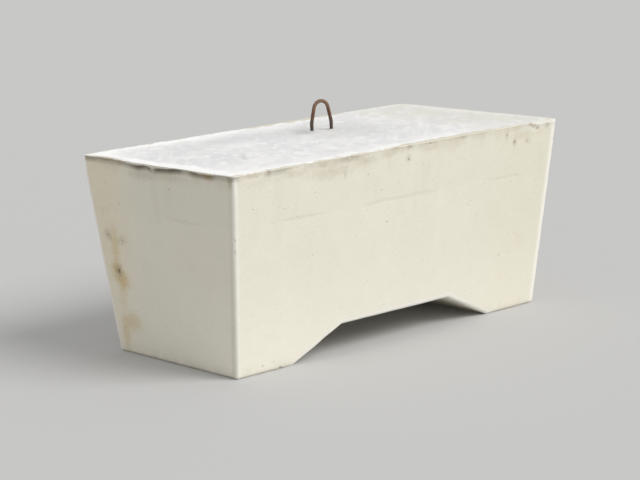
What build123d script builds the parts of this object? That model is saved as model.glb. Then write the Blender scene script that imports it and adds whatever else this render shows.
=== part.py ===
from build123d import *
import math
import os

# A cast concrete ballast block: battered on all four sides, notched underneath, with one
# steel lifting loop cast into its deck. Millimetres. +X runs along the block, +Z is up, and
# the origin is the middle of the footprint, on the floor.

# The mould: its open top is longer and wider than its floor, so that the block lifts out
deck_length = 1360
deck_width = 720
base_length = 1270
base_width = 560
block_height = 610

# The notch right across the underside, which leaves two feet and room for forks or a sling
notch_mouth = 830
notch_crown = 455
notch_height = 90

# The edges: those cast in the mould's corners, and the rim struck off by hand
notch_corner_radius = 12
cast_edge_radius = 8
rim_radius = 4

# The lifting loop: one plain round bar, bent to a hairpin, with both ends hooked outwards
bar_diameter = 12
loop_spread = 74
loop_rise = 98
crown_radius = 27
shoulder_height = 25
shoulder_radius = 45
loop_depth = 300
hook_length = 85
hook_radius = 36

# Where the loop was pushed into the wet concrete, by hand and a little off the middle
loop_x = 84
loop_y = 112
loop_turn = -9


def elevation(bottom, top):
    """The four corners of an upright face that widens from the base to the deck."""
    return [
        (-bottom / 2, 0),
        (-top / 2, block_height),
        (top / 2, block_height),
        (bottom / 2, 0),
    ]


# The loop lies in its own upright plane, whose origin is midway between its legs in the deck
loop_plane = Plane(
    origin=(loop_x, loop_y, block_height),
    x_dir=Vector(1, 0, 0).rotate(Axis.Z, loop_turn),
    z_dir=Vector(0, -1, 0).rotate(Axis.Z, loop_turn),
)

# From its shoulder each leg leans in along the tangent to the arc of the crown
half_spread = loop_spread / 2
crown_centre = loop_rise - bar_diameter / 2 - crown_radius
above_shoulder = crown_centre - shoulder_height
shoulder_to_centre = math.hypot(half_spread, above_shoulder)
lean = math.acos(crown_radius / shoulder_to_centre) - math.atan2(above_shoulder, half_spread)
crown_end_x = crown_radius * math.cos(lean)
crown_end_y = crown_centre + crown_radius * math.sin(lean)
hook_tip = half_spread + hook_length

with BuildPart() as lifting_loop:
    with BuildLine(loop_plane) as centreline:
        FilletPolyline(
            (-hook_tip, -loop_depth),
            (-half_spread, -loop_depth),
            (-half_spread, shoulder_height),
            (-crown_end_x, crown_end_y),
            radius=[hook_radius, shoulder_radius],
        )
        ThreePointArc(
            (-crown_end_x, crown_end_y),
            (0, crown_centre + crown_radius),
            (crown_end_x, crown_end_y),
        )
        FilletPolyline(
            (crown_end_x, crown_end_y),
            (half_spread, shoulder_height),
            (half_spread, -loop_depth),
            (hook_tip, -loop_depth),
            radius=[shoulder_radius, hook_radius],
        )
    bar_end = Plane(origin=centreline.line @ 0, z_dir=centreline.line % 0)
    with BuildSketch(bar_end) as bar_section:
        Circle(bar_diameter / 2)
    sweep(path=centreline.line)

with BuildPart() as concrete_block:
    # The outline of the long sides, with the notch, gives the batter of the two ends
    with BuildSketch(Plane.XZ) as side_outline:
        Polygon(
            *elevation(base_length, deck_length),
            (notch_mouth / 2, 0),
            (notch_crown / 2, notch_height),
            (-notch_crown / 2, notch_height),
            (-notch_mouth / 2, 0),
            align=None,
        )
        crown_corners = side_outline.vertices().filter_by_position(Axis.Y, notch_height, notch_height)
        fillet(crown_corners, radius=notch_corner_radius)
    extrude(amount=deck_width / 2, both=True)

    # The outline of the ends gives the batter of the two long sides
    with BuildSketch(Plane.YZ) as end_outline:
        Polygon(*elevation(base_width, deck_width), align=None)
    extrude(amount=deck_length / 2, both=True, mode=Mode.INTERSECT)

    # Every edge below the rim was cast in a corner of the mould. The seams are left out: they
    # are where the notch's own arcs run smoothly into its flats.
    rim = concrete_block.faces().sort_by(Axis.Z)[-1].edges()
    across = concrete_block.edges().filter_by(Axis.Y)
    seams = across.filter_by_position(Axis.Z, cast_edge_radius, block_height - rim_radius)
    fillet(concrete_block.edges() - rim - seams, radius=cast_edge_radius)

    struck_rim = concrete_block.faces().sort_by(Axis.Z)[-1].edges()
    fillet(struck_rim, radius=rim_radius)

    # The concrete closed round the bar, from the deck down to the ends of its hooks
    add(lifting_loop.part, mode=Mode.SUBTRACT)

concrete_block.part.label = "concrete_block"
lifting_loop.part.label = "lifting_loop"

os.makedirs("parts", exist_ok=True)
export_step(concrete_block.part, "parts/concrete_block.step")
export_step(lifting_loop.part, "parts/lifting_loop.step")
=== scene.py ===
import math
import random

import bmesh
import bpy
from mathutils import Matrix, Vector, noise
from mathutils.bvhtree import BVHTree


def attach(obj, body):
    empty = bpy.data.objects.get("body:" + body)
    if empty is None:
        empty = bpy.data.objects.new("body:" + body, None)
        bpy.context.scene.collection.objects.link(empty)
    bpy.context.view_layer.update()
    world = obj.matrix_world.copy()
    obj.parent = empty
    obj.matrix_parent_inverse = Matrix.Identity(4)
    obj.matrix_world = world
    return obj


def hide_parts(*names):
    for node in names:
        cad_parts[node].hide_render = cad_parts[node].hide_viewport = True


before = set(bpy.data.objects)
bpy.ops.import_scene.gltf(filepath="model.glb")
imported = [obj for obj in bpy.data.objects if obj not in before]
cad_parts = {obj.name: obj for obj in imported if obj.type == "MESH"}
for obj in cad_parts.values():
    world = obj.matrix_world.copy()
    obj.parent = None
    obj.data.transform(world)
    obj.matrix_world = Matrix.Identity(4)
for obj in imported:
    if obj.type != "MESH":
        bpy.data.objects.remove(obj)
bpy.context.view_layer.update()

# The casting. One solid block of pale concrete, poured in two lifts into a battered steel mould
# whose floor carries the notch, struck off by hand at the open top, and turned out when hard.
deck_length = 1.360
deck_width = 0.720
base_length = 1.270
base_width = 0.560
block_height = 0.610
notch_mouth = 0.830
notch_crown = 0.455
notch_height = 0.090
cast_radius = 0.009
rim_radius = 0.003

# How far each metre of height leans the two ends and the two long sides out
end_lean = (deck_length - base_length) / 2 / block_height
side_lean = (deck_width - base_width) / 2 / block_height

# The faces are cut into cells of this size, with two more cuts inside the left end, and with rows
# under the rim: the lip's lower edge first, then the face that it overhangs
cell = 0.008
left_cuts = (0.012, 0.020)
lip_rows = (0.6066, 0.6058, 0.6030, 0.5990, 0.5940, 0.5870, 0.5780)

# Where the loop's legs stand in the deck, and how far round them the concrete was disturbed
loop_x = 0.084
loop_y = 0.112
loop_turn = math.radians(-9)
loop_spread = 0.074
disturbed_reach = 0.055
loop_frame = Matrix.Translation((loop_x, loop_y, block_height)) @ Matrix.Rotation(loop_turn, 4, "Z")
leg_spots = [loop_frame @ Vector((way * loop_spread / 2, 0, 0)) for way in (-1, 1)]


def length_at(z):
    return base_length + (deck_length - base_length) * z / block_height


def width_at(z):
    return base_width + (deck_width - base_width) * z / block_height


def deck_corner(way_x, way_y):
    return Vector((way_x * deck_length / 2, way_y * deck_width / 2, block_height))


def base_corner(way_x, way_y):
    return Vector((way_x * base_length / 2, way_y * base_width / 2, 0))


def slices(bm, places, normal):
    """Cuts the whole mesh along parallel planes, so that its faces can follow a fine wave."""
    for place in places:
        whole = bm.verts[:] + bm.edges[:] + bm.faces[:]
        bmesh.ops.bisect_plane(bm, geom=whole, dist=1e-6, plane_co=normal * place, plane_no=normal)


def evenly(length):
    """Places a cell apart between the two ends of a length that is centred on zero."""
    count = round(length / cell)
    return [length * (i / count - 0.5) for i in range(1, count)]


def straight_casting():
    """The block before its batter: a prism with the notch, its edges rounded and its faces in cells."""
    mouth = notch_mouth / 2 * deck_length / length_at(0)
    crown = notch_crown / 2 * deck_length / length_at(notch_height)
    outline = [
        (-deck_length / 2, 0),
        (-mouth, 0),
        (-crown, notch_height),
        (crown, notch_height),
        (mouth, 0),
        (deck_length / 2, 0),
        (deck_length / 2, block_height),
        (-deck_length / 2, block_height),
    ]
    bm = bmesh.new()
    face = bm.faces.new([bm.verts.new((x, -deck_width / 2, z)) for x, z in outline])
    swept = bmesh.ops.extrude_face_region(bm, geom=[face])["geom"]
    far = [v for v in swept if isinstance(v, bmesh.types.BMVert)]
    bmesh.ops.translate(bm, vec=(0, deck_width, 0), verts=far)
    bmesh.ops.recalc_face_normals(bm, faces=bm.faces[:])

    def on_rim(edge):
        return all(v.co.z > block_height - 1e-5 for v in edge.verts)

    def shallow(edge):
        return abs(edge.calc_face_angle()) < math.radians(40)

    cast = [e for e in bm.edges if not on_rim(e) and not shallow(e)]
    bmesh.ops.bevel(bm, geom=cast, offset=cast_radius, segments=3, profile=0.5, affect="EDGES", material=-1)
    rim = [e for e in bm.edges if on_rim(e)]
    bmesh.ops.bevel(bm, geom=rim, offset=rim_radius, segments=3, profile=0.5, affect="EDGES", material=-1)

    slices(bm, evenly(deck_length), Vector((1, 0, 0)))
    slices(bm, [-deck_length / 2 + inside for inside in left_cuts], Vector((1, 0, 0)))
    slices(bm, lip_rows, Vector((0, 0, 1)))
    slices(bm, evenly(deck_width), Vector((0, 1, 0)))

    # By now only the upright edges under the rows are long
    tall = [e for e in bm.edges if e.calc_length() > 0.1]
    cells_up = round(block_height / cell) - len(lip_rows) + 1
    bmesh.ops.subdivide_edges(bm, edges=tall, cuts=cells_up, use_grid_fill=True)

    def disturbed(vert):
        return (vert.co - Vector((loop_x, loop_y, block_height))).length < disturbed_reach

    patch = [e for e in bm.edges if all(disturbed(v) for v in e.verts)]
    bmesh.ops.subdivide_edges(bm, edges=patch, cuts=3, use_grid_fill=True)
    return bm


def ripple(point, size, seed):
    """A smooth random wave between -1 and 1, whose hills lie about size metres apart."""
    return noise.noise(point / size + Vector((seed, seed * 1.7, -seed)))


def swell(point, height, size, seed):
    """The same wave between 0 and twice a height."""
    return height * (1 + ripple(point, size, seed))


def fade(value, start, stop):
    """0 up to start, 1 from stop, smooth between."""
    t = min(max((value - start) / (stop - start), 0), 1)
    return t * t * (3 - 2 * t)


# The lip along the left end, where mortar ran over the mould: (place across the block, depth of
# its lower edge under the deck, share of dirt and painted shade on the face under it). A depth less
# than the rim's own leaves nothing hanging there. One drip runs further down.
left_lip = (
    (-0.360, 0.004, 0.45),
    (-0.320, 0.004, 0.40),
    (-0.285, 0.005, 0.45),
    (-0.250, 0.008, 0.85),
    (-0.210, 0.008, 1.00),
    (-0.180, 0.006, 1.00),
    (-0.140, 0.004, 0.50),
    (-0.105, 0.004, 0.95),
    (-0.055, 0.008, 1.00),
    (0.005, 0.011, 1.00),
    (0.050, 0.007, 1.00),
    (0.088, 0.010, 1.00),
    (0.120, 0.008, 0.75),
    (0.150, 0.005, 0.70),
    (0.170, 0.004, 0.70),
    (0.200, 0.002, 0.40),
    (0.270, 0.002, 0.45),
    (0.325, 0.004, 0.70),
    (0.360, 0.005, 0.60),
)
lip_reach = 0.03
drip_place = 0.014
drip_width = 0.009
drip_length = 0.004

# The struck rim waves and rolls over at its edges, and behind the lip the deck sags down to it
rim_wave = 0.0002
roll_depth = 0.0004
left_roll_reach = 0.010
other_roll_reach = 0.012
sag_reach = 0.16
sag_share = 0.25
sag_from = 0.003

# Mortar ran over elsewhere too: in lumps along the rim, and furthest down at the right end
lump_slump = 0.0028
right_start = 0.54
right_full = 0.60
right_slump = 0.0075


def along_lip(y, column):
    """A value at a place along the left end's lip, read off the list above."""
    for start, stop in zip(left_lip, left_lip[1:]):
        if y <= stop[0]:
            return start[column] + (stop[column] - start[column]) * fade(y, start[0], stop[0])
    return left_lip[-1][column]


def at_left(x, reach):
    """1 on the left end, fading to 0 a reach inside it."""
    return 1 - fade(x + deck_length / 2, 0.01, reach)


def at_drip(y):
    """1 in the middle of the drip, falling to 0 on both sides of it."""
    return math.exp(-((y - drip_place) / drip_width) ** 2)


def rolled(inside, reach):
    """1 at an edge of the deck, falling to 0 along a curve that ends a reach inside it."""
    return max(1 - inside / reach, 0) ** 2


def sag(point):
    """How far the struck rim, and the deck that runs down to it, lies under the true deck."""
    flat = Vector((point.x, point.y, 0))
    droop = sag_share * (along_lip(point.y, 1) - sag_from) * at_left(point.x, sag_reach)
    wave = swell(flat, rim_wave, 0.17, 3) + swell(flat, rim_wave, 0.04, 5)
    from_left = point.x + deck_length / 2
    from_rest = min(deck_length / 2 - point.x, deck_width / 2 - abs(point.y))
    left_roll = roll_depth * rolled(from_left, left_roll_reach)
    other_roll = roll_depth * (1.3 + ripple(flat, 0.09, 6)) * rolled(from_rest, other_roll_reach)
    return droop + wave + max(left_roll, other_roll)


def lip_drop(point):
    """How much further than the rim its lip's lower edge hangs down."""
    own = block_height - lip_rows[0]
    left = at_left(point.x, lip_reach)
    hang = max(along_lip(point.y, 1) - own - sag(point), 0) + drip_length * at_drip(point.y)
    flat = Vector((point.x, point.y, 0))
    lumps = max(1.5 * ripple(flat, 0.13, 7) + 0.5 * ripple(flat, 0.035, 8) - 0.15, 0)
    right = fade(point.x, right_start, right_full)
    slump = lump_slump * lumps + right_slump * right * (1 + 0.4 * ripple(flat, 0.028, 25))
    return left * hang + (1 - left) * slump


# The face under the lip stands back this far where the lip is whole, further where it is broken,
# and further still along the left end. Away from that end the dirt and painted shade under the lip
# are only partly there, and less towards the right.
whole_undercut = 0.0004
broken_undercut = 0.0008
left_whole_undercut = 0.0020
left_broken_undercut = 0.0026
undercut_height = 0.03
middle_dirt_and_shade = 0.36
right_dirt_and_shade = 0.12


def undercut(point, level):
    """How far the face under the lip stands back from it, and how much dirt and painted shade darken it."""
    left = at_left(point.x, lip_reach)
    flat = Vector((point.x, point.y, 0))
    broken = fade(ripple(flat, 0.075, 9) + 0.4 * ripple(flat, 0.02, 10), -0.5, 0.25)
    held = along_lip(point.y, 2)
    broken = left * held * (0.75 + 0.25 * broken) + (1 - left) * broken
    drip = 1 - 0.6 * at_drip(point.y) * left
    whole = whole_undercut + left_whole_undercut * left
    reach = (whole + (broken_undercut + left_broken_undercut * left) * broken) * drip
    below = 1 - fade(level, lip_rows[1], lip_rows[0])
    near = below * fade(level, lip_rows[-1] - undercut_height, lip_rows[2])
    # Painted shade, together with dirt, darkens the face under the lip in these rows
    dirt_and_shade = below * fade(level, lip_rows[5] + 0.001, lip_rows[3] - 0.001) * broken * drip
    kept = middle_dirt_and_shade - (middle_dirt_and_shade - right_dirt_and_shade) * fade(point.x, -0.15, 0.30)
    return reach * near, dirt_and_shade * (kept + (1 - kept) * left)


def from_deck_edge(point):
    return min(deck_length / 2 - abs(point.x), deck_width / 2 - abs(point.y))


# The mortar's white starts on the rim's rounding, and lower down where it ran over at the right
white_start = 0.6086
right_white_drop = 0.0028


def whitened(point, level):
    """How white the mortar left the rim, fading out over the deck behind it."""
    start = white_start - right_white_drop * fade(point.x, right_start, right_full)
    return fade(level, start, start + 0.001) * (1 - fade(from_deck_edge(point), 0.008, 0.105))


# Half of the greatest depth that the mould's sheet, the trowel, and the hand which pushed the
# loop in have left, and the height of the mortar's collar round each leg
sheet_bulge = 0.0007
sheet_dent = 0.0003
trowel_stroke = 0.0010
trowel_mark = 0.0003
hand_mark = 0.0016
collar_height = 0.0022
collar_top = 0.006
collar_foot = 0.016


def hollowed(point):
    """How far in the mould's sheet left the face."""
    return swell(point, sheet_bulge, 0.32, 1) + swell(point, sheet_dent, 0.05, 2)


def trowelled(point):
    """How low the deck was left, and how much higher round the loop's legs."""
    along = Vector((point.x * 1.5, point.y * 0.7 + 0.1 * point.x, 0))
    drop = fade(from_deck_edge(point), 0.004, 0.05) * swell(along, trowel_stroke, 0.11, 11)
    drop += swell(point, trowel_mark, 0.03, 13)
    near = 1 - fade((point - Vector((loop_x, loop_y, point.z))).length, 0.02, disturbed_reach)
    drop += near * swell(point, hand_mark, 0.012, 15)
    for leg in leg_spots:
        drop -= collar_height * (1 - fade((point.xy - leg.xy).length, collar_top, collar_foot))
    return drop


# How far knocks and poor filling have rounded the four corners of the deck, and wear the edges
corner_knocks = (((-1, 1), 0.0025), ((-1, -1), 0.0015), ((1, -1), 0.002), ((1, 1), 0.004))
knock_reach = 0.030
edge_wear = 0.0014


def knocked(point):
    """How far in a point moves that lies near a corner of the deck."""
    move = Vector((0, 0, 0))
    for (way_x, way_y), depth in corner_knocks:
        inwards = Vector((-way_x, -way_y, -1)).normalized()
        move += inwards * depth * (1 - fade((point - deck_corner(way_x, way_y)).length, 0, knock_reach))
    return move


# The sides follow the rim's sag from here up, and the lip's from this far under its rows
sag_starts = 0.40
sag_full = 0.60
lip_follows = 0.06


def batter(bm):
    """Lets the struck rim and its lip sag, and leans the sides in towards the base."""
    lowest = lip_rows[-1] - lip_follows
    for v in bm.verts:
        level = v.co.z
        drop = sag(v.co) * fade(level, sag_starts, sag_full)
        if lowest < level <= lip_rows[0] + 1e-5:
            drop += lip_drop(v.co) * fade(level, lowest, lip_rows[2])
        v.co.z -= drop
        v.co.x *= length_at(v.co.z) / deck_length
        v.co.y *= width_at(v.co.z) / deck_width


def weather(bm):
    """Moves the points in from their true places, by what a hand-filled steel mould does."""
    grime_and_shade = bm.verts.layers.float.new("grime_and_shade")
    lip = bm.verts.layers.float.new("lip")
    levels = {v: v.co.z for v in bm.verts}
    batter(bm)
    bm.normal_update()
    moved = {}
    for v, level in levels.items():
        point = v.co.copy()
        away = v.normal
        reach, dirt_and_shade = undercut(point, level)
        upright = 1 - abs(away.z)
        # The face under the lip takes painted shade together with its dirt in this layer
        v[grime_and_shade] = dirt_and_shade * upright
        v[lip] = whitened(point, level)
        deep = hollowed(point) * (1 - 0.8 * fade(away.z, 0.2, 0.8)) + reach * upright
        drop = trowelled(point) if away.z > 0.7 and level > lip_rows[0] else 0
        corner = 1 - max(abs(away.x), abs(away.y), abs(away.z))
        worn = fade(corner, 0.03, 0.2) * edge_wear * max(0, ripple(point, 0.05, 17) + 0.3)
        place = point - away * (deep + worn) - Vector((0, 0, drop))
        place += knocked(point)
        if level < 1e-5:
            place.z = 0
        moved[v] = place
    for v, place in moved.items():
        v.co = place


class Recipe:
    """Adds nodes to a material or a group, each fed with numbers or with earlier outputs."""

    def __init__(self, tree):
        self.tree = tree

    def node(self, kind, inputs=None, **settings):
        made = self.tree.nodes.new(kind)
        for name, value in settings.items():
            setattr(made, name, value)
        for key, value in (inputs or {}).items():
            if isinstance(value, bpy.types.NodeSocket):
                self.tree.links.new(value, made.inputs[key])
            else:
                made.inputs[key].default_value = value
        return made

    def effect(self, tree, **inputs):
        """One of the node groups below, fed by the names of its inputs."""
        return self.node("ShaderNodeGroup", inputs, node_tree=tree).outputs[0]

    def calc(self, operation, *values):
        return self.node("ShaderNodeMath", dict(enumerate(values)), operation=operation).outputs[0]

    def calc_vector(self, operation, *vectors):
        return self.node("ShaderNodeVectorMath", dict(enumerate(vectors)), operation=operation).outputs

    def band(self, value, start, stop, low=0.0, high=1.0):
        """low up to start and high from stop, smooth between. start may be the larger."""
        inputs = dict(enumerate((value, start, stop, low, high)))
        return self.node("ShaderNodeMapRange", inputs, interpolation_type="SMOOTHSTEP").outputs[0]

    def both(self, *masks):
        """Where all the masks are."""
        result = masks[0]
        for mask in masks[1:]:
            result = self.calc("MULTIPLY", result, mask)
        return result

    def tint(self, share, under, over):
        """One colour over another, as far as the share says."""
        return self.node("ShaderNodeMix", {0: share, 6: under, 7: over}, data_type="RGBA").outputs[2]

    def wash(self, under, colour, mask, strength):
        """A colour laid thinly over what is under it, where the mask is."""
        return self.tint(self.calc("MULTIPLY", mask, strength), under, (*colour, 1))

    def cloud(self, where, scale, detail=2.0, rough=0.5):
        inputs = {"Vector": where, "Scale": scale, "Detail": detail, "Roughness": rough}
        return self.node("ShaderNodeTexNoise", inputs).outputs[0]

    def stretch(self, where, scale):
        return self.node("ShaderNodeMapping", {"Vector": where, "Scale": scale}).outputs[0]

    def drawn_out(self, where, size, turn):
        """The place along axes that are turned about z, each drawn out to its size."""
        inputs = {"Vector": where, "Rotation": (0, 0, turn), "Scale": size}
        return self.node("ShaderNodeMapping", inputs, vector_type="TEXTURE").outputs[0]

    def split(self, vector):
        return self.node("ShaderNodeSeparateXYZ", {0: vector}).outputs

    def attribute(self, name):
        return self.node("ShaderNodeAttribute", attribute_name=name).outputs["Fac"]

    def grained(self, colour, grain):
        return self.calc_vector("MULTIPLY", colour, grain)[0]

    def finish(self, colour, roughness, height, strength):
        """Feeds the material's shader, which stands in the material itself, and returns it."""
        bump = self.node("ShaderNodeBump", {"Height": height, "Distance": 1.0, "Strength": strength})
        shader = self.tree.nodes["Principled BSDF"]
        self.tree.links.new(colour, shader.inputs["Base Color"])
        self.tree.links.new(roughness, shader.inputs["Roughness"])
        self.tree.links.new(bump.outputs[0], shader.inputs["Normal"])
        return shader


def new_effect(name, *inputs):
    """An empty node group that puts out a mask: its recipe, its inputs by name, the mask's socket."""
    tree = bpy.data.node_groups.new(name, "ShaderNodeTree")
    for label in inputs:
        kind = "NodeSocketVector" if label in ("Where", "Centre", "Reach") else "NodeSocketFloat"
        tree.interface.new_socket(label, in_out="INPUT", socket_type=kind)
    tree.interface.new_socket("Mask", in_out="OUTPUT", socket_type="NodeSocketFloat")
    recipe = Recipe(tree)
    return recipe, recipe.node("NodeGroupInput").outputs, recipe.node("NodeGroupOutput").inputs[0]


def make_patches():
    """Soft irregular patches: a noise cut at a level, so that a higher level leaves fewer."""
    r, given, mask = new_effect("patches", "Where", "Scale", "Level", "Softness")
    wave = r.cloud(given["Where"], given["Scale"], 4.0, 0.6)
    low = r.calc("SUBTRACT", given["Level"], given["Softness"])
    high = r.calc("ADD", given["Level"], given["Softness"])
    r.tree.links.new(r.band(wave, low, high), mask)
    return r.tree


def make_pits():
    """Small round pits of uneven size: a cell in each holds one, as large as Size of the cell."""
    r, given, mask = new_effect("pits", "Where", "Scale", "Size")
    cells = r.node("ShaderNodeTexVoronoi", {"Vector": given["Where"], "Scale": given["Scale"]})
    own = r.split(cells.outputs["Color"])[0]
    size = r.calc("MULTIPLY", r.calc("POWER", own, 3.0), given["Size"])
    inner = r.calc("MULTIPLY", size, 0.6)
    r.tree.links.new(r.band(cells.outputs["Distance"], size, inner), mask)
    return r.tree


def make_mark():
    """One stain with a ragged edge, at a place of its own."""
    r, given, mask = new_effect("mark", "Where", "Centre", "Reach")
    offset = r.calc_vector("SUBTRACT", given["Where"], given["Centre"])[0]
    share = r.calc_vector("DIVIDE", offset, given["Reach"])[0]
    far = r.calc_vector("LENGTH", share)["Value"]
    rag = r.calc("MULTIPLY", r.cloud(given["Where"], 110.0, 3.0, 0.6), 1.3)
    r.tree.links.new(r.band(r.calc("ADD", far, rag), 1.75, 0.75), mask)
    return r.tree


patches = make_patches()
pits = make_pits()
mark = make_mark()


def new_material(name):
    """A material, its recipe, and the place and the facing of each point in the object's own frame."""
    material = bpy.data.materials.new(name)
    material.use_nodes = True
    recipe = Recipe(material.node_tree)
    point = recipe.node("ShaderNodeTexCoord").outputs
    return material, recipe, point["Object"], point["Normal"]


# Stains that the photograph shows, each as (centre, reach, strength). Dirt: in the front rim's
# chips and under it, along the left rim, and round holes in the front and in the left end.
dirt_shade = (0.44, 0.36, 0.25)
dirt_stains = (
    ((-0.610, -0.360, 0.600), (0.050, 0.02, 0.010), 0.40),
    ((-0.548, -0.360, 0.602), (0.018, 0.02, 0.010), 0.60),
    ((-0.485, -0.360, 0.603), (0.065, 0.02, 0.006), 0.30),
    ((-0.455, -0.356, 0.584), (0.075, 0.03, 0.016), 0.18),
    ((-0.335, -0.358, 0.596), (0.032, 0.03, 0.012), 0.34),
    ((-0.300, -0.353, 0.566), (0.110, 0.03, 0.024), 0.26),
    ((-0.248, -0.354, 0.558), (0.010, 0.03, 0.030), 0.26),
    ((-0.222, -0.360, 0.602), (0.040, 0.02, 0.011), 0.30),
    ((-0.166, -0.356, 0.586), (0.060, 0.03, 0.017), 0.20),
    ((-0.076, -0.356, 0.590), (0.034, 0.03, 0.013), 0.26),
    ((-0.045, -0.360, 0.606), (0.030, 0.03, 0.008), 0.34),
    ((0.014, -0.360, 0.602), (0.020, 0.02, 0.011), 0.52),
    ((0.012, -0.354, 0.568), (0.015, 0.03, 0.017), 0.36),
    ((0.098, -0.360, 0.602), (0.044, 0.02, 0.008), 0.40),
    ((0.093, -0.357, 0.588), (0.055, 0.03, 0.013), 0.20),
    ((0.245, -0.360, 0.603), (0.038, 0.02, 0.007), 0.36),
    ((0.446, -0.356, 0.583), (0.012, 0.03, 0.020), 0.34),
    ((0.484, -0.352, 0.556), (0.013, 0.03, 0.019), 0.48),
    ((0.542, -0.352, 0.554), (0.022, 0.03, 0.014), 0.26),
    ((0.520, -0.354, 0.575), (0.060, 0.03, 0.020), 0.16),
    ((0.553, -0.358, 0.604), (0.016, 0.02, 0.008), 0.60),
    ((0.572, -0.358, 0.598), (0.016, 0.02, 0.009), 0.66),
    ((0.589, -0.357, 0.590), (0.015, 0.02, 0.010), 0.66),
    ((0.635, -0.357, 0.593), (0.016, 0.02, 0.010), 0.50),
    ((-0.679, 0.240, 0.609), (0.026, 0.110, 0.012), 0.75),
    ((-0.676, 0.075, 0.574), (0.03, 0.100, 0.024), 0.32),
    ((-0.676, -0.080, 0.577), (0.03, 0.100, 0.020), 0.20),
    ((-0.662, 0.271, 0.368), (0.03, 0.027, 0.025), 0.42),
    ((-0.662, 0.202, 0.358), (0.03, 0.034, 0.024), 0.27),
    ((-0.654, 0.238, 0.257), (0.03, 0.024, 0.032), 0.72),
    ((-0.675, -0.336, 0.590), (0.02, 0.013, 0.020), 0.60),
)

# Rust: one spot in the lip's shade, what has bled down the far half of the left end from the
# largest hole, and two faint spots low on the front's right
rust_shade = (0.68, 0.52, 0.24)
rust_stains = (
    ((-0.678, -0.236, 0.596), (0.03, 0.034, 0.012), 0.80),
    ((-0.652, 0.224, 0.232), (0.03, 0.042, 0.046), 0.78),
    ((-0.654, 0.250, 0.264), (0.03, 0.034, 0.036), 0.72),
    ((-0.659, 0.242, 0.338), (0.03, 0.030, 0.085), 0.50),
    ((-0.648, 0.233, 0.172), (0.03, 0.030, 0.050), 0.20),
    ((-0.643, 0.200, 0.102), (0.03, 0.066, 0.045), 0.44),
    ((-0.638, 0.236, 0.062), (0.03, 0.026, 0.065), 0.42),
    ((0.538, -0.310, 0.229), (0.030, 0.03, 0.030), 0.10),
    ((0.466, -0.296, 0.122), (0.030, 0.03, 0.026), 0.09),
)

# Greyer deck: painted shade and own grey before the loop, wet longest along the far side: (centre, reach,
# shade)
wet_and_shaded_patches = (
    ((0.13, 0.05, block_height), (0.26, 0.24, 0.2), (0.640, 0.640, 0.610)),
    ((-0.20, 0.19, block_height), (0.36, 0.10, 0.2), (0.640, 0.655, 0.640)),
)

# Grey marks on the deck: a patch by the loop, a row of four short strokes, and two single spots
deck_grey = (0.42, 0.43, 0.42)
deck_grey_marks = (
    ((0.006, 0.112, 0.610), (0.048, 0.055, 0.05), 0.60),
    ((-0.452, -0.141, 0.610), (0.012, 0.019, 0.03), 0.45),
    ((-0.432, -0.113, 0.610), (0.012, 0.019, 0.03), 0.50),
    ((-0.412, -0.086, 0.610), (0.011, 0.018, 0.03), 0.42),
    ((-0.393, -0.060, 0.610), (0.010, 0.017, 0.03), 0.34),
    ((-0.544, -0.348, 0.610), (0.012, 0.016, 0.03), 0.40),
    ((-0.244, -0.145, 0.610), (0.012, 0.026, 0.03), 0.35),
)

# The joint between the two lifts wanders within this much about its height
pour_line_height = 0.449
pour_line_wander = 0.022

# How high the sand and the lumps of mortar stand, on the sides and on the deck, how high the
# trowel's strokes stand there, and how deep pinholes and the pour line are
sand_relief = (0.00022, 0.0006)
lump_relief = (0.0003, 0.0012)
stroke_relief = 0.0006
pinhole_depth = 0.0010
pour_line_depth = 0.0003


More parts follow.
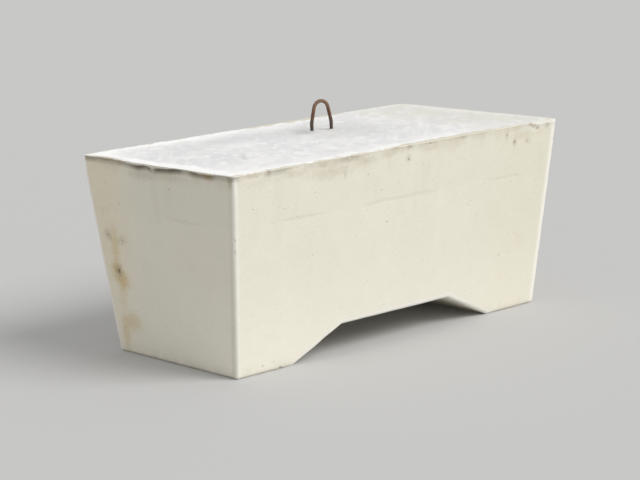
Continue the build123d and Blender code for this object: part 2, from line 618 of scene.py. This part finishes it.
class CastConcrete:
    """The concrete's layers and relief, worked out from where on the block each point lies."""

    def __init__(self, r, where, facing):
        self.r = r
        self.where = where
        self.x, self.y, self.z = r.split(where)
        self.up = r.split(facing)[2]
        self.on_deck = r.band(self.up, 0.35, 0.75)
        self.on_side = r.calc("SUBTRACT", 1.0, self.on_deck)
        self.fine = r.cloud(where, 340.0, 3.0, 0.65)

        # How far inside the ends and the sides a point lies, at its own height
        self.half_length = r.calc("MULTIPLY_ADD", self.z, end_lean, base_length / 2)
        half_width = r.calc("MULTIPLY_ADD", self.z, side_lean, base_width / 2)
        self.from_end = r.calc("SUBTRACT", self.half_length, r.calc("ABSOLUTE", self.x))
        self.from_side = r.calc("SUBTRACT", half_width, r.calc("ABSOLUTE", self.y))
        self.on_left = r.both(r.band(self.from_end, 0.020, 0.006), r.band(self.x, -0.3, -0.5), self.on_side)

        # The joint between the two lifts shows here and there, and not on the deck
        wander = r.calc("SUBTRACT", r.cloud(where, 6.0, 3.0), 0.5)
        wander = r.calc("MULTIPLY", wander, pour_line_wander)
        self.over_line = r.calc("ADD", r.calc("SUBTRACT", self.z, pour_line_height), wander)
        near_line = r.band(r.calc("ABSOLUTE", self.over_line), 0.0080, 0.0005)
        self.pour_line = r.both(near_line, r.band(r.cloud(where, 4.2, 1.0), 0.44, 0.60), self.on_side)
        self.pinholes = r.effect(pits, Where=where, Scale=90.0, Size=0.20)

        # The trowel went slantwise over the deck, so what it left is drawn out that way
        self.across = r.drawn_out(where, (0.75, 1.7, 1.0), math.radians(-42))

    def formed(self):
        """The faces off the steel: cream, with soft clouds, and a greyer second lift over the pour line."""
        r = self.r
        clouds = r.effect(patches, Where=self.where, Scale=2.4, Level=0.5, Softness=0.2)
        colour = r.tint(clouds, (0.845, 0.812, 0.695, 1), (0.812, 0.776, 0.660, 1))
        mottle = r.effect(patches, Where=self.where, Scale=17.0, Level=0.5, Softness=0.22)
        colour = r.wash(colour, (0.790, 0.765, 0.645), mottle, 0.5)
        second_lift = r.band(self.over_line, -0.008, 0.010)
        colour = r.wash(colour, (0.765, 0.740, 0.625), second_lift, 0.24)
        return r.wash(colour, (0.52, 0.47, 0.36), self.pour_line, 0.20)

    def aged(self, colour):
        """The right part has dulled, and the left end has yellowed at its far half and dimmed high up."""
        r = self.r
        duller = r.both(r.band(self.x, 0.18, 0.55), r.band(self.z, 0.02, 0.30, 1.3, 0.72), self.on_side)
        colour = r.wash(colour, (0.770, 0.735, 0.575), duller, 0.55)
        yellowed = r.both(r.band(self.y, 0.08, 0.27), self.on_left)
        colour = r.wash(colour, (0.870, 0.780, 0.590), yellowed, 0.60)
        dimmed = r.both(r.band(self.y, 0.16, 0.04), r.band(self.z, 0.34, 0.56), self.on_left)
        colour = r.wash(colour, (0.770, 0.735, 0.630), dimmed, 0.40)
        washed = r.both(r.band(self.z, 0.34, 0.05), self.on_side)
        return r.wash(colour, (0.900, 0.865, 0.750), washed, 0.50)

    def rained_on(self, colour):
        """Rain drew faint streaks down from the rim, dirt clings under it, and mud splashed the foot."""
        r = self.r
        streaks = r.cloud(r.stretch(self.where, (17.0, 17.0, 1.2)), 1.0, 4.0)
        streaks = r.both(r.band(streaks, 0.52, 0.72), r.band(self.z, 0.25, 0.58), self.on_side)
        colour = r.wash(colour, (0.60, 0.56, 0.43), streaks, 0.13)
        clinging = r.effect(patches, Where=self.where, Scale=13.0, Level=0.50, Softness=0.13)
        clinging = r.both(clinging, r.band(self.z, 0.550, 0.592), self.on_side)
        colour = r.wash(colour, (0.61, 0.52, 0.39), clinging, 0.40)
        splash = r.effect(patches, Where=self.where, Scale=22.0, Level=0.5, Softness=0.14)
        splash = r.both(splash, r.band(self.z, 0.045, 0.004), self.on_side)
        return r.wash(colour, (0.52, 0.46, 0.34), splash, 0.22)

    def rubbed_and_highlit(self, colour):
        """The corners between the sides: rubbed pale with a painted highlight, painted shade beside the
        near one.
        """
        r = self.r
        # A painted strip of shade on the left end beside its near corner
        shade_beside = r.both(r.band(self.from_side, 0.030, 0.018), r.band(self.y, -0.1, -0.2), self.on_left)
        shade_beside = r.both(shade_beside, r.band(self.z, 0.40, 0.15, 0.16, 0.24))
        colour = r.tint(shade_beside, colour, (0.50, 0.46, 0.37, 1))
        # The rubbed pale corners are painted brighter still as a highlight, most to the right and at the
        # far left
        along_end = r.calc("MULTIPLY", self.from_end, r.band(self.x, 0.0, 0.5, 1.0, 0.75))
        along_side = r.calc("MULTIPLY", self.from_side, r.band(self.y, -0.1, 0.1, 1.7, 1.2))
        reach = r.calc("MAXIMUM", along_end, along_side)
        corners = r.both(r.band(reach, 0.022, 0.010), r.band(self.fine, 0.15, 0.4))
        most_highlit = r.calc("MAXIMUM", r.band(self.x, 0.0, 0.5), r.band(self.y, -0.1, 0.1))
        pale_and_highlit = r.tint(most_highlit, (0.89, 0.87, 0.78, 1), (0.95, 0.91, 0.82, 1))
        colour = r.tint(r.calc("MULTIPLY", corners, 0.88), colour, pale_and_highlit)

        # The edge of the notch gets a painted highlight, measured off its slope and its crown
        slope = Vector(((notch_mouth - notch_crown) / 2, notch_height)).normalized()
        past_mouth = r.calc("MULTIPLY_ADD", r.calc("ABSOLUTE", self.x), slope.y, -notch_mouth / 2 * slope.y)
        off_slope = r.calc("MULTIPLY_ADD", self.z, slope.x, past_mouth)
        off_notch = r.calc("MAXIMUM", off_slope, r.calc("SUBTRACT", self.z, notch_height))
        notch_edge_highlight = r.both(r.band(off_notch, 0.018, 0.009), r.band(self.from_side, 0.012, 0.004))
        notch_edge_highlight = r.both(notch_edge_highlight, self.on_side)
        return r.wash(colour, (0.945, 0.930, 0.870), notch_edge_highlight, 0.75)

    def struck(self):
        """The deck: greyer and mottled where the trowel drew water up, whiter where it dried; painted shade
        by the loop.
        """
        r = self.r
        drying = r.effect(patches, Where=self.across, Scale=7.0, Level=0.5, Softness=0.13)
        colour = r.tint(drying, (0.855, 0.845, 0.830, 1), (0.765, 0.758, 0.753, 1))
        blots = r.effect(patches, Where=self.across, Scale=17.0, Level=0.53, Softness=0.09)
        colour = r.wash(colour, (0.715, 0.712, 0.718), blots, 0.50)
        dry_spots = r.effect(patches, Where=self.across, Scale=23.0, Level=0.57, Softness=0.06)
        colour = r.wash(colour, (0.890, 0.892, 0.868), dry_spots, 0.80)
        # The first patch, before the loop, is painted shade with some of the deck's own grey
        for centre, reach, shade in wet_and_shaded_patches:
            wet_and_shaded = r.effect(mark, Where=self.where, Centre=centre, Reach=reach)
            colour = r.wash(colour, shade, wet_and_shaded, 0.58)
        creamed = r.band(r.cloud(self.across, 9.0, 3.0), 0.35, 0.6, 0.4, 1.0)
        creamed = r.both(r.band(self.x, 0.30, 0.50), creamed)
        colour = r.wash(colour, (0.735, 0.722, 0.630), creamed, 0.78)
        specks = r.effect(pits, Where=self.where, Scale=26.0, Size=0.09)
        colour = r.wash(colour, (0.30, 0.28, 0.25), specks, 0.6)
        for leg in leg_spots:
            bled = r.effect(mark, Where=self.where, Centre=leg, Reach=(0.017, 0.017, 0.05))
            colour = r.wash(colour, (0.42, 0.36, 0.28), bled, 0.50)

        # A strip along both sides dried whiter, and widest by the near corner
        strip = r.calc("MULTIPLY_ADD", r.cloud(self.across, 8.0, 3.0), 0.10, self.from_side)
        strip = r.calc("SUBTRACT", strip, r.band(self.x, -0.48, -0.62, 0.0, 0.06))
        whiter = r.both(r.band(strip, 0.19, 0.06), r.band(self.x, 0.45, 0.15, 0.1, 1.0))
        return r.wash(colour, (0.930, 0.925, 0.890), whiter, 0.62)

    def inside_edge(self):
        """Where the struck face is, which away from the left end stops a little short of its edge."""
        r = self.r
        from_rest = r.calc("MINIMUM", r.calc("SUBTRACT", self.half_length, self.x), self.from_side)
        short = r.calc("MULTIPLY_ADD", r.cloud(self.across, 24.0, 3.0), -0.060, from_rest)
        short = r.calc("ADD", short, 0.010)
        shorter = r.both(r.band(self.x, -0.10, 0.02), r.band(self.x, 0.45, 0.30), 0.016)
        short = r.calc("SUBTRACT", short, shorter)
        return r.band(short, -0.013, -0.004)

    def lipped(self, colour, inside_edge):
        """The lip of mortar that ran over the mould is whiter than what it borders."""
        r = self.r
        lip = r.attribute("lip")
        ragged = r.calc("MULTIPLY", r.calc("SUBTRACT", r.cloud(self.across, 22.0, 3.0), 0.5), 1.5)
        uneven = r.band(r.cloud(self.where, 7.0, 2.0), 0.42, 0.58, -0.28, 0.10)
        uneven = r.both(uneven, r.band(self.x, -0.62, -0.50))
        bare = r.both(r.band(self.x, 0.0, 0.35), r.band(self.x, 0.58, 0.48), -0.35)
        share = r.calc("ADD", r.calc("ADD", lip, ragged), r.calc("ADD", uneven, bare))
        share = r.both(r.band(share, 0.40, 0.72), r.band(lip, 0.02, 0.20))
        share = r.both(share, r.band(self.x, -0.32, -0.12, 0.92, 0.66))
        share = r.both(share, r.band(self.x, 0.34, 0.46, 1.0, 0.32))
        share = r.both(share, r.calc("MAXIMUM", inside_edge, r.band(self.x, 0.53, 0.58)))
        colour = r.tint(share, colour, (0.970, 0.965, 0.940, 1))
        ran_to = r.calc("MULTIPLY_ADD", r.cloud(self.where, 38.0, 3.0), 0.030, self.z)
        ran_down = r.both(r.band(ran_to, 0.592, 0.604), r.band(self.x, 0.47, 0.57), self.on_side)
        return r.wash(colour, (0.905, 0.910, 0.835), ran_down, 0.45)

    def stained(self, colour):
        """The stains listed above, the dirt and painted shade under the lip, and the dark of the pinholes.
        """
        r = self.r
        lists = ((rust_stains, rust_shade), (dirt_stains, dirt_shade), (deck_grey_marks, deck_grey))
        for stains, shade in lists:
            for centre, reach, strength in stains:
                stain = r.effect(mark, Where=self.where, Centre=centre, Reach=reach)
                colour = r.wash(colour, shade, stain, strength)
        # Painted shade and dirt under the lip, and the dirt in the holes and the chips
        colour = r.wash(colour, (0.115, 0.095, 0.066), r.attribute("grime_and_shade"), 0.92)
        return r.wash(colour, (0.42, 0.38, 0.31), self.pinholes, 0.45)

    def relief(self):
        """Sand in the face, the groove of the pour line, pinholes and the strokes of the trowel."""
        r = self.r
        sand = r.calc("MULTIPLY", self.fine, r.band(self.on_deck, 0.0, 1.0, *sand_relief))
        lumps = r.cloud(self.where, 90.0, 3.0, 0.6)
        coarse = r.calc("MULTIPLY", lumps, r.band(self.on_deck, 0.0, 1.0, *lump_relief))
        strokes = r.cloud(r.stretch(self.where, (16.0, 5.0, 1.0)), 1.0, 3.0)
        groove = r.calc("MULTIPLY", self.pour_line, -pour_line_depth)
        sunk = r.calc("MULTIPLY", self.pinholes, -pinhole_depth)
        height = r.calc("ADD", r.calc("ADD", sand, coarse), r.calc("ADD", groove, sunk))
        return r.calc("ADD", height, r.both(strokes, self.on_deck, stroke_relief))


def white_concrete():
    """The formed sides, the struck deck with a ragged border round it, and over both the white lip."""
    material, r, where, facing = new_material("white_cast_concrete")
    block = CastConcrete(r, where, facing)
    sides = block.rubbed_and_highlit(block.rained_on(block.aged(block.formed())))
    inside_edge = block.inside_edge()
    border = r.both(r.band(block.up, 0.10, 0.45), r.calc("SUBTRACT", 1.0, inside_edge))
    sides = r.wash(sides, (0.62, 0.57, 0.46), border, 0.50)
    colour = r.tint(r.both(block.on_deck, inside_edge), sides, block.struck())
    colour = block.stained(block.lipped(colour, inside_edge))
    colour = r.grained(colour, r.band(block.fine, 0.2, 0.8, 0.945, 1.055))
    roughness = r.band(block.fine, 0.3, 0.7, 0.84, 0.95)
    shader = r.finish(colour, roughness, block.relief(), 0.7)
    shader.inputs["Specular IOR Level"].default_value = 0.3
    return material


casting = straight_casting()
weather(casting)
bmesh.ops.recalc_face_normals(casting, faces=casting.faces[:])
for f in casting.faces:
    f.smooth = True
casting_mesh = bpy.data.meshes.new("cast_block")
casting.to_mesh(casting_mesh)
casting_mesh.materials.append(white_concrete())
casting_surface = BVHTree.FromBMesh(casting)
casting.free()
cast_block = bpy.data.objects.new("cast_block", casting_mesh)
bpy.context.scene.collection.objects.link(cast_block)


def surface(where, outward):
    """The point where a line from outside meets the casting."""
    hit = casting_surface.ray_cast(where + outward * 0.05, -outward)[0]
    return hit if hit else where


def new_cutters():
    """An empty mesh for lumps that bite holes and chips, with the casting's layers."""
    bm = bmesh.new()
    bm.verts.layers.float.new("lip")
    return bm, bm.verts.layers.float.new("grime_and_shade")


def add_cutter(bm, grime_and_shade, centre, along, outward, size, rough, seed, dirt_and_shade):
    """One rough lump: size is its reach along, across and outward, in metres."""
    across = outward.cross(along).normalized()
    turn = Matrix((along, across, outward)).transposed().to_4x4()
    place = Matrix.Translation(centre) @ turn @ Matrix.Diagonal((*size, 1))
    grown = bmesh.ops.create_icosphere(bm, subdivisions=2, radius=1, matrix=place)
    for v in grown["verts"]:
        wave = noise.noise(v.co / min(size) * 0.7 + Vector((seed, 0, 0)))
        v.co += (v.co - centre) * rough * wave
        v[grime_and_shade] = dirt_and_shade


def bite(target, bm, name):
    """Takes the lumps in bm out of the target's mesh."""
    for f in bm.faces:
        f.smooth = True
    mesh = bpy.data.meshes.new(name)
    bm.to_mesh(mesh)
    bm.free()
    mesh.materials.append(target.data.materials[0])
    tool = bpy.data.objects.new(name, mesh)
    bpy.context.scene.collection.objects.link(tool)
    cut = target.modifiers.new(name, "BOOLEAN")
    cut.operation = "DIFFERENCE"
    cut.solver = "MANIFOLD"
    cut.object = tool
    bpy.context.view_layer.objects.active = target
    bpy.ops.object.modifier_apply(modifier=name)
    bpy.data.objects.remove(tool)


def face_point(face, u, z):
    """A point on one of the four sides and its outward direction: u runs along the face, z up it."""
    way = -1 if face in ("left", "front") else 1
    if face in ("left", "right"):
        return Vector((way * length_at(z) / 2, u, z)), Vector((way, 0, -end_lean)).normalized()
    return Vector((u, way * width_at(z) / 2, z)), Vector((0, way, -side_lean)).normalized()


# Air bubbles left blow holes: those that the photograph shows, then a scatter, thicker towards
# the deck. Each is (face, place along it, height, radius), and the shown ones hold more dirt.
shown_dirt = 0.24
scatter_dirt = 0.10
hole_roughness = 0.12
blow_holes = [
    ("front", 0.446, 0.583, 0.0024),
    ("front", 0.484, 0.557, 0.0034),
    ("front", 0.541, 0.553, 0.0022),
    ("front", 0.503, 0.448, 0.0022),
    ("front", 0.289, 0.382, 0.0024),
    ("front", 0.012, 0.564, 0.0030),
    ("front", -0.539, 0.024, 0.0028),
    ("front", -0.496, 0.028, 0.0024),
    ("left", 0.270, 0.369, 0.0040),
    ("left", 0.202, 0.358, 0.0030),
    ("left", 0.236, 0.258, 0.0075),
]
shown_holes = len(blow_holes)
scatter = (("front", 34), ("back", 44), ("left", 20), ("right", 22))
scatter_low = 0.13
scatter_high = 0.56
clear_of_corner = 0.03
smallest_hole = 0.0012
largest_hole = 0.0034
draw = random.Random(41)
for face, count in scatter:
    for _ in range(count):
        z = scatter_low + (scatter_high - scatter_low) * draw.random() ** 0.6
        half = (length_at(z) if face in ("front", "back") else width_at(z)) / 2 - clear_of_corner
        u = draw.uniform(-half, half)
        radius = smallest_hole + (largest_hole - smallest_hole) * draw.random() ** 2.5
        blow_holes.append((face, u, z, radius))
holes, holes_grime_and_shade = new_cutters()
for number, (face, u, z, radius) in enumerate(blow_holes):
    where, outward = face_point(face, u, z)
    along = Vector((0, 0, 1)).cross(outward).normalized()
    flat = draw.uniform(0.8, 1.25)
    size = (radius * flat, radius / flat, radius)
    centre = surface(where, outward) + outward * radius * 0.15
    dirt_and_shade = shown_dirt if number < shown_holes else scatter_dirt
    add_cutter(holes, holes_grime_and_shade, centre, along, outward, size, hole_roughness, number, dirt_and_shade)
bite(cast_block, holes, "blow_holes")

# Knocks in handling took chips off the edges. Those that the photograph shows in the front rim
# come first, as (place along it, height, length, dirt that has settled in them).
rim_chips = (
    (-0.548, 0.602, 0.015, 0.20),
    (-0.360, 0.600, 0.009, 0.05),
    (-0.226, 0.602, 0.018, 0.05),
    (-0.160, 0.599, 0.012, 0.05),
    (-0.045, 0.604, 0.012, 0.05),
    (0.014, 0.602, 0.017, 0.15),
    (0.098, 0.602, 0.014, 0.10),
    (0.245, 0.603, 0.012, 0.05),
)
rim_chip_roughness = 0.40
chips, chips_grime_and_shade = new_cutters()
for number, (u, z, length, dirt_and_shade) in enumerate(rim_chips):
    where, outward = face_point("front", u, z)
    size = (length / 2, length * 0.24, length * 0.17)
    centre = surface(where, outward) + outward * length * 0.04
    along = Vector((1, 0, 0))
    add_cutter(chips, chips_grime_and_shade, centre, along, outward, size, rim_chip_roughness, number, dirt_and_shade)

# Then a scatter along all the edges, with few on those that the photograph shows nearly whole.
# Each edge is (start, stop, outward direction, number of chips, size of the largest).
smallest_chip = 0.003
chip_roughness = 0.35
chip_dirt = 0.15
chipped_edges = []
for way_x in (-1, 1):
    for way_y in (-1, 1):
        outward = Vector((way_x, way_y, -0.1))
        count = 2 if (way_x, way_y) == (-1, -1) else 7
        chipped_edges.append((base_corner(way_x, way_y), deck_corner(way_x, way_y), outward, count, 0.008))
for way in (-1, 1):
    end_rim = (deck_corner(way, -1), deck_corner(way, 1), Vector((way, 0, 1)), 2 if way < 0 else 7, 0.008)
    side_rim = (deck_corner(-1, way), deck_corner(1, way), Vector((0, way, 1)), 4 if way < 0 else 13, 0.009)
    end_foot = (base_corner(way, -1), base_corner(way, 1), Vector((way, 0, -1)), 4, 0.009)
    chipped_edges += [end_rim, side_rim, end_foot]
    for end in (-1, 1):
        mouth = Vector((end * notch_mouth / 2, way * base_width / 2, 0))
        chipped_edges.append((base_corner(end, way), mouth, Vector((0, way, -1)), 3, 0.009))
for number, (start, stop, outward, count, largest) in enumerate(chipped_edges):
    along = (stop - start).normalized()
    outward = outward.normalized()
    outward = (outward - along * outward.dot(along)).normalized()
    for turn in range(count):
        size = smallest_chip + (largest - smallest_chip) * draw.random() ** 2
        where = surface(start.lerp(stop, draw.uniform(0.03, 0.97)), outward)
        reach = (size * draw.uniform(1.0, 2.4), size, size)
        centre = where + outward * size * draw.uniform(0.45, 0.8)
        seed = number * 20 + turn
        add_cutter(chips, chips_grime_and_shade, centre, along, outward, reach, chip_roughness, seed, chip_dirt)
bite(cast_block, chips, "chips")

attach(cast_block, "root")
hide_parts("concrete_block")

# The lifting loop. One plain round steel bar, bent cold to a hairpin with both ends hooked,
# pushed into the wet deck by hand, and left to rust in the open.
bar_diameter = 0.012
loop_rise = 0.098
crown_radius = 0.027
shoulder_height = 0.025
shoulder_radius = 0.045
loop_depth = 0.300
hook_length = 0.085
hook_radius = 0.036


def bent_bar(sides, step):
    """The bar in the loop's own upright plane: a ring pushed along the straights, spun at the bends."""
    half_spread = loop_spread / 2
    crown_centre = loop_rise - bar_diameter / 2 - crown_radius
    climb = crown_centre - shoulder_height
    lean = math.acos(crown_radius / math.hypot(half_spread, climb)) - math.atan2(climb, half_spread)
    crown_end_x = crown_radius * math.cos(lean)
    crown_end_z = crown_centre + crown_radius * math.sin(lean)
    shoulder_tangent = shoulder_radius * math.tan(lean / 2)
    hook = ("run", hook_length - hook_radius)
    leg = ("run", loop_depth - hook_radius + shoulder_height - shoulder_tangent)
    slope = ("run", math.hypot(half_spread - crown_end_x, crown_end_z - shoulder_height) - shoulder_tangent)
    foot = ("bend", math.pi / 2, hook_radius)
    shoulder = ("bend", -lean, shoulder_radius)
    crown = ("bend", 2 * lean - math.pi, crown_radius)
    moves = [hook, foot, leg, shoulder, slope, crown, slope, shoulder, leg, foot, hook]

    bm = bmesh.new()
    place = Vector((-half_spread - hook_length, 0, -loop_depth))
    heading = 0.0
    upright = Matrix.Translation(place) @ Matrix.Rotation(math.pi / 2, 4, "Y")
    bmesh.ops.create_circle(bm, cap_ends=True, segments=sides, radius=bar_diameter / 2, matrix=upright)
    rim = bm.edges[:]
    for kind, *sizes in moves:
        ahead = Vector((math.cos(heading), 0, math.sin(heading)))
        if kind == "run":
            length = sizes[0]
            steps = max(1, round(length / step))
            for _ in range(steps):
                grown = bmesh.ops.extrude_edge_only(bm, edges=rim)["geom"]
                pushed = [g for g in grown if isinstance(g, bmesh.types.BMVert)]
                bmesh.ops.translate(bm, vec=ahead * length / steps, verts=pushed)
                rim = [g for g in grown if isinstance(g, bmesh.types.BMEdge)]
            place += ahead * length
        else:
            turn, bend_radius = sizes
            way = 1 if turn > 0 else -1
            centre = place + Vector((-ahead.z, 0, ahead.x)) * bend_radius * way
            steps = max(2, round(abs(turn) * bend_radius / step))
            ends = list(dict.fromkeys(v for e in rim for v in e.verts))
            spun = bmesh.ops.spin(
                bm, geom=ends + rim, cent=centre, axis=(0, -1, 0),
                angle=turn, steps=steps, use_duplicate=False,
            )
            rim = [g for g in spun["geom_last"] if isinstance(g, bmesh.types.BMEdge)]
            place = centre + Matrix.Rotation(-turn, 3, "Y") @ (place - centre)
            heading += turn
    bmesh.ops.contextual_create(bm, geom=rim)
    bmesh.ops.recalc_face_normals(bm, faces=bm.faces[:])
    return bm


def drop_loose(mesh):
    """Keeps only the largest shell: no sliver that a cut left loose, and no bubble without a mouth."""
    bm = bmesh.new()
    bm.from_mesh(mesh)

    # Points that coincide are merged and faces of many corners split before shells are told apart
    bmesh.ops.remove_doubles(bm, verts=bm.verts[:], dist=1e-6)
    bmesh.ops.triangulate(bm, faces=[f for f in bm.faces if len(f.verts) > 4])
    left = set(bm.faces)
    shells = []
    for start in bm.faces:
        if start not in left:
            continue
        left.remove(start)
        shell = [start]
        for face in shell:
            for edge in face.edges:
                if len(edge.link_faces) != 2:
                    continue
                for beyond in edge.link_faces:
                    if beyond in left:
                        left.remove(beyond)
                        shell.append(beyond)
        shells.append(shell)
    shells.sort(key=len)
    loose = [face for shell in shells[:-1] for face in shell]
    bmesh.ops.delete(bm, geom=loose, context="FACES")
    bm.to_mesh(mesh)
    bm.free()


# The cavity that the bar fills in the concrete
cavity = bent_bar(16, 0.012)
cavity.verts.layers.float.new("grime_and_shade")
cavity.verts.layers.float.new("lip")
cavity.transform(loop_frame)
bite(cast_block, cavity, "cavity")
drop_loose(casting_mesh)
casting_mesh.set_sharp_from_angle(angle=math.radians(38))

# The bar itself, eaten a little by rust all over, and most just above the deck
rust_scale = 0.00016
rust_grit = 0.0001
neck_height = 0.004
neck_reach = 0.014
neck_depth = 0.0004
bar = bent_bar(20, 0.003)
bar.transform(loop_frame)
bar.normal_update()
for v in bar.verts:
    scale = swell(v.co, rust_scale, 0.006, 21) + swell(v.co, rust_grit, 0.0025, 23)
    neck = 1 - fade(abs(v.co.z - block_height - neck_height), 0, neck_reach)
    v.co -= v.normal * (scale + neck_depth * neck)
for f in bar.faces:
    f.smooth = True
bar_mesh = bpy.data.meshes.new("bent_bar")
bar.to_mesh(bar_mesh)
bar.free()
bar_mesh.set_sharp_from_angle(angle=math.radians(50))
bent_loop = bpy.data.objects.new("bent_bar", bar_mesh)
bpy.context.scene.collection.objects.link(bent_loop)


def rusted_steel():
    """Brown scale in blotches, brighter rust in spots, browner at the crown and darker at the deck."""
    material, r, where, _ = new_material("rusted_round_bar")
    height_up = r.split(where)[2]
    fine = r.cloud(where, 900.0, 3.0, 0.7)
    blotches = r.effect(patches, Where=where, Scale=85.0, Level=0.5, Softness=0.12)
    colour = r.tint(blotches, (0.175, 0.090, 0.050, 1), (0.105, 0.055, 0.035, 1))
    bright = r.effect(patches, Where=where, Scale=150.0, Level=0.60, Softness=0.07)
    colour = r.wash(colour, (0.290, 0.130, 0.055), bright, 0.6)
    high = r.band(height_up, block_height + 0.050, block_height + 0.085)
    colour = r.wash(colour, (0.300, 0.185, 0.120), high, 0.45)
    low = r.band(height_up, block_height + 0.055, block_height + 0.008)
    colour = r.wash(colour, (0.070, 0.064, 0.052), low, 0.80)
    flakes = r.effect(pits, Where=where, Scale=420.0, Size=0.55)
    colour = r.wash(colour, (0.045, 0.028, 0.020), flakes, 0.5)
    colour = r.grained(colour, r.band(fine, 0.2, 0.8, 0.85, 1.15))
    height = r.calc("MULTIPLY", r.calc("SUBTRACT", fine, r.calc("MULTIPLY", flakes, 0.6)), 0.0004)
    shader = r.finish(colour, r.band(fine, 0.3, 0.7, 0.72, 0.92), height, 0.9)
    shader.inputs["Metallic"].default_value = 0.15
    return material


bar_mesh.materials.append(rusted_steel())
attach(bent_loop, "root")
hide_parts("lifting_loop")

# The floor, light and camera: a pale floor under an even sky, with one broad soft lamp, seen
# from where the photograph was taken.
floor_colour = (0.56, 0.558, 0.55)
floor_reach = 40
sky_colour = (0.97, 0.97, 0.98)
sky_strength = 0.6
sun_strength = 2.0
sun_softness = math.radians(35)
sun_heading = Vector((-0.3, 0.67, -0.67))
eye = Vector((-4.2614, -4.7045, 1.5257))
aim = Vector((-0.0211, 0.0239, 0.2774))
roll = math.radians(-2.27)
lens = 115.25

ground = bmesh.new()
bmesh.ops.create_grid(ground, x_segments=1, y_segments=1, size=floor_reach)
floor_mesh = bpy.data.meshes.new("floor")
ground.to_mesh(floor_mesh)
ground.free()
floor = bpy.data.objects.new("floor", floor_mesh)
bpy.context.scene.collection.objects.link(floor)
plain = bpy.data.materials.new("plain_floor")
plain.use_nodes = True
plain_shader = plain.node_tree.nodes["Principled BSDF"]
plain_shader.inputs["Base Color"].default_value = (*floor_colour, 1)
plain_shader.inputs["Roughness"].default_value = 0.9
floor_mesh.materials.append(plain)

world = bpy.data.worlds.new("studio")
bpy.context.scene.world = world
world.use_nodes = True
sky = world.node_tree.nodes["Background"]
sky.inputs["Color"].default_value = (*sky_colour, 1)
sky.inputs["Strength"].default_value = sky_strength

lamp = bpy.data.lights.new("key", "SUN")
lamp.energy = sun_strength
lamp.angle = sun_softness
key = bpy.data.objects.new("key", lamp)
key.rotation_euler = sun_heading.to_track_quat("-Z", "Y").to_euler()
bpy.context.scene.collection.objects.link(key)

camera = bpy.data.objects.new("camera", bpy.data.cameras.new("camera"))
camera.data.lens = lens
camera.data.clip_end = 200
turned = (aim - eye).to_track_quat("-Z", "Y").to_matrix().to_4x4() @ Matrix.Rotation(roll, 4, "Z")
camera.matrix_world = Matrix.Translation(eye) @ turned
bpy.context.scene.collection.objects.link(camera)
bpy.context.scene.camera = camera
bpy.context.scene.view_settings.view_transform = "Standard"
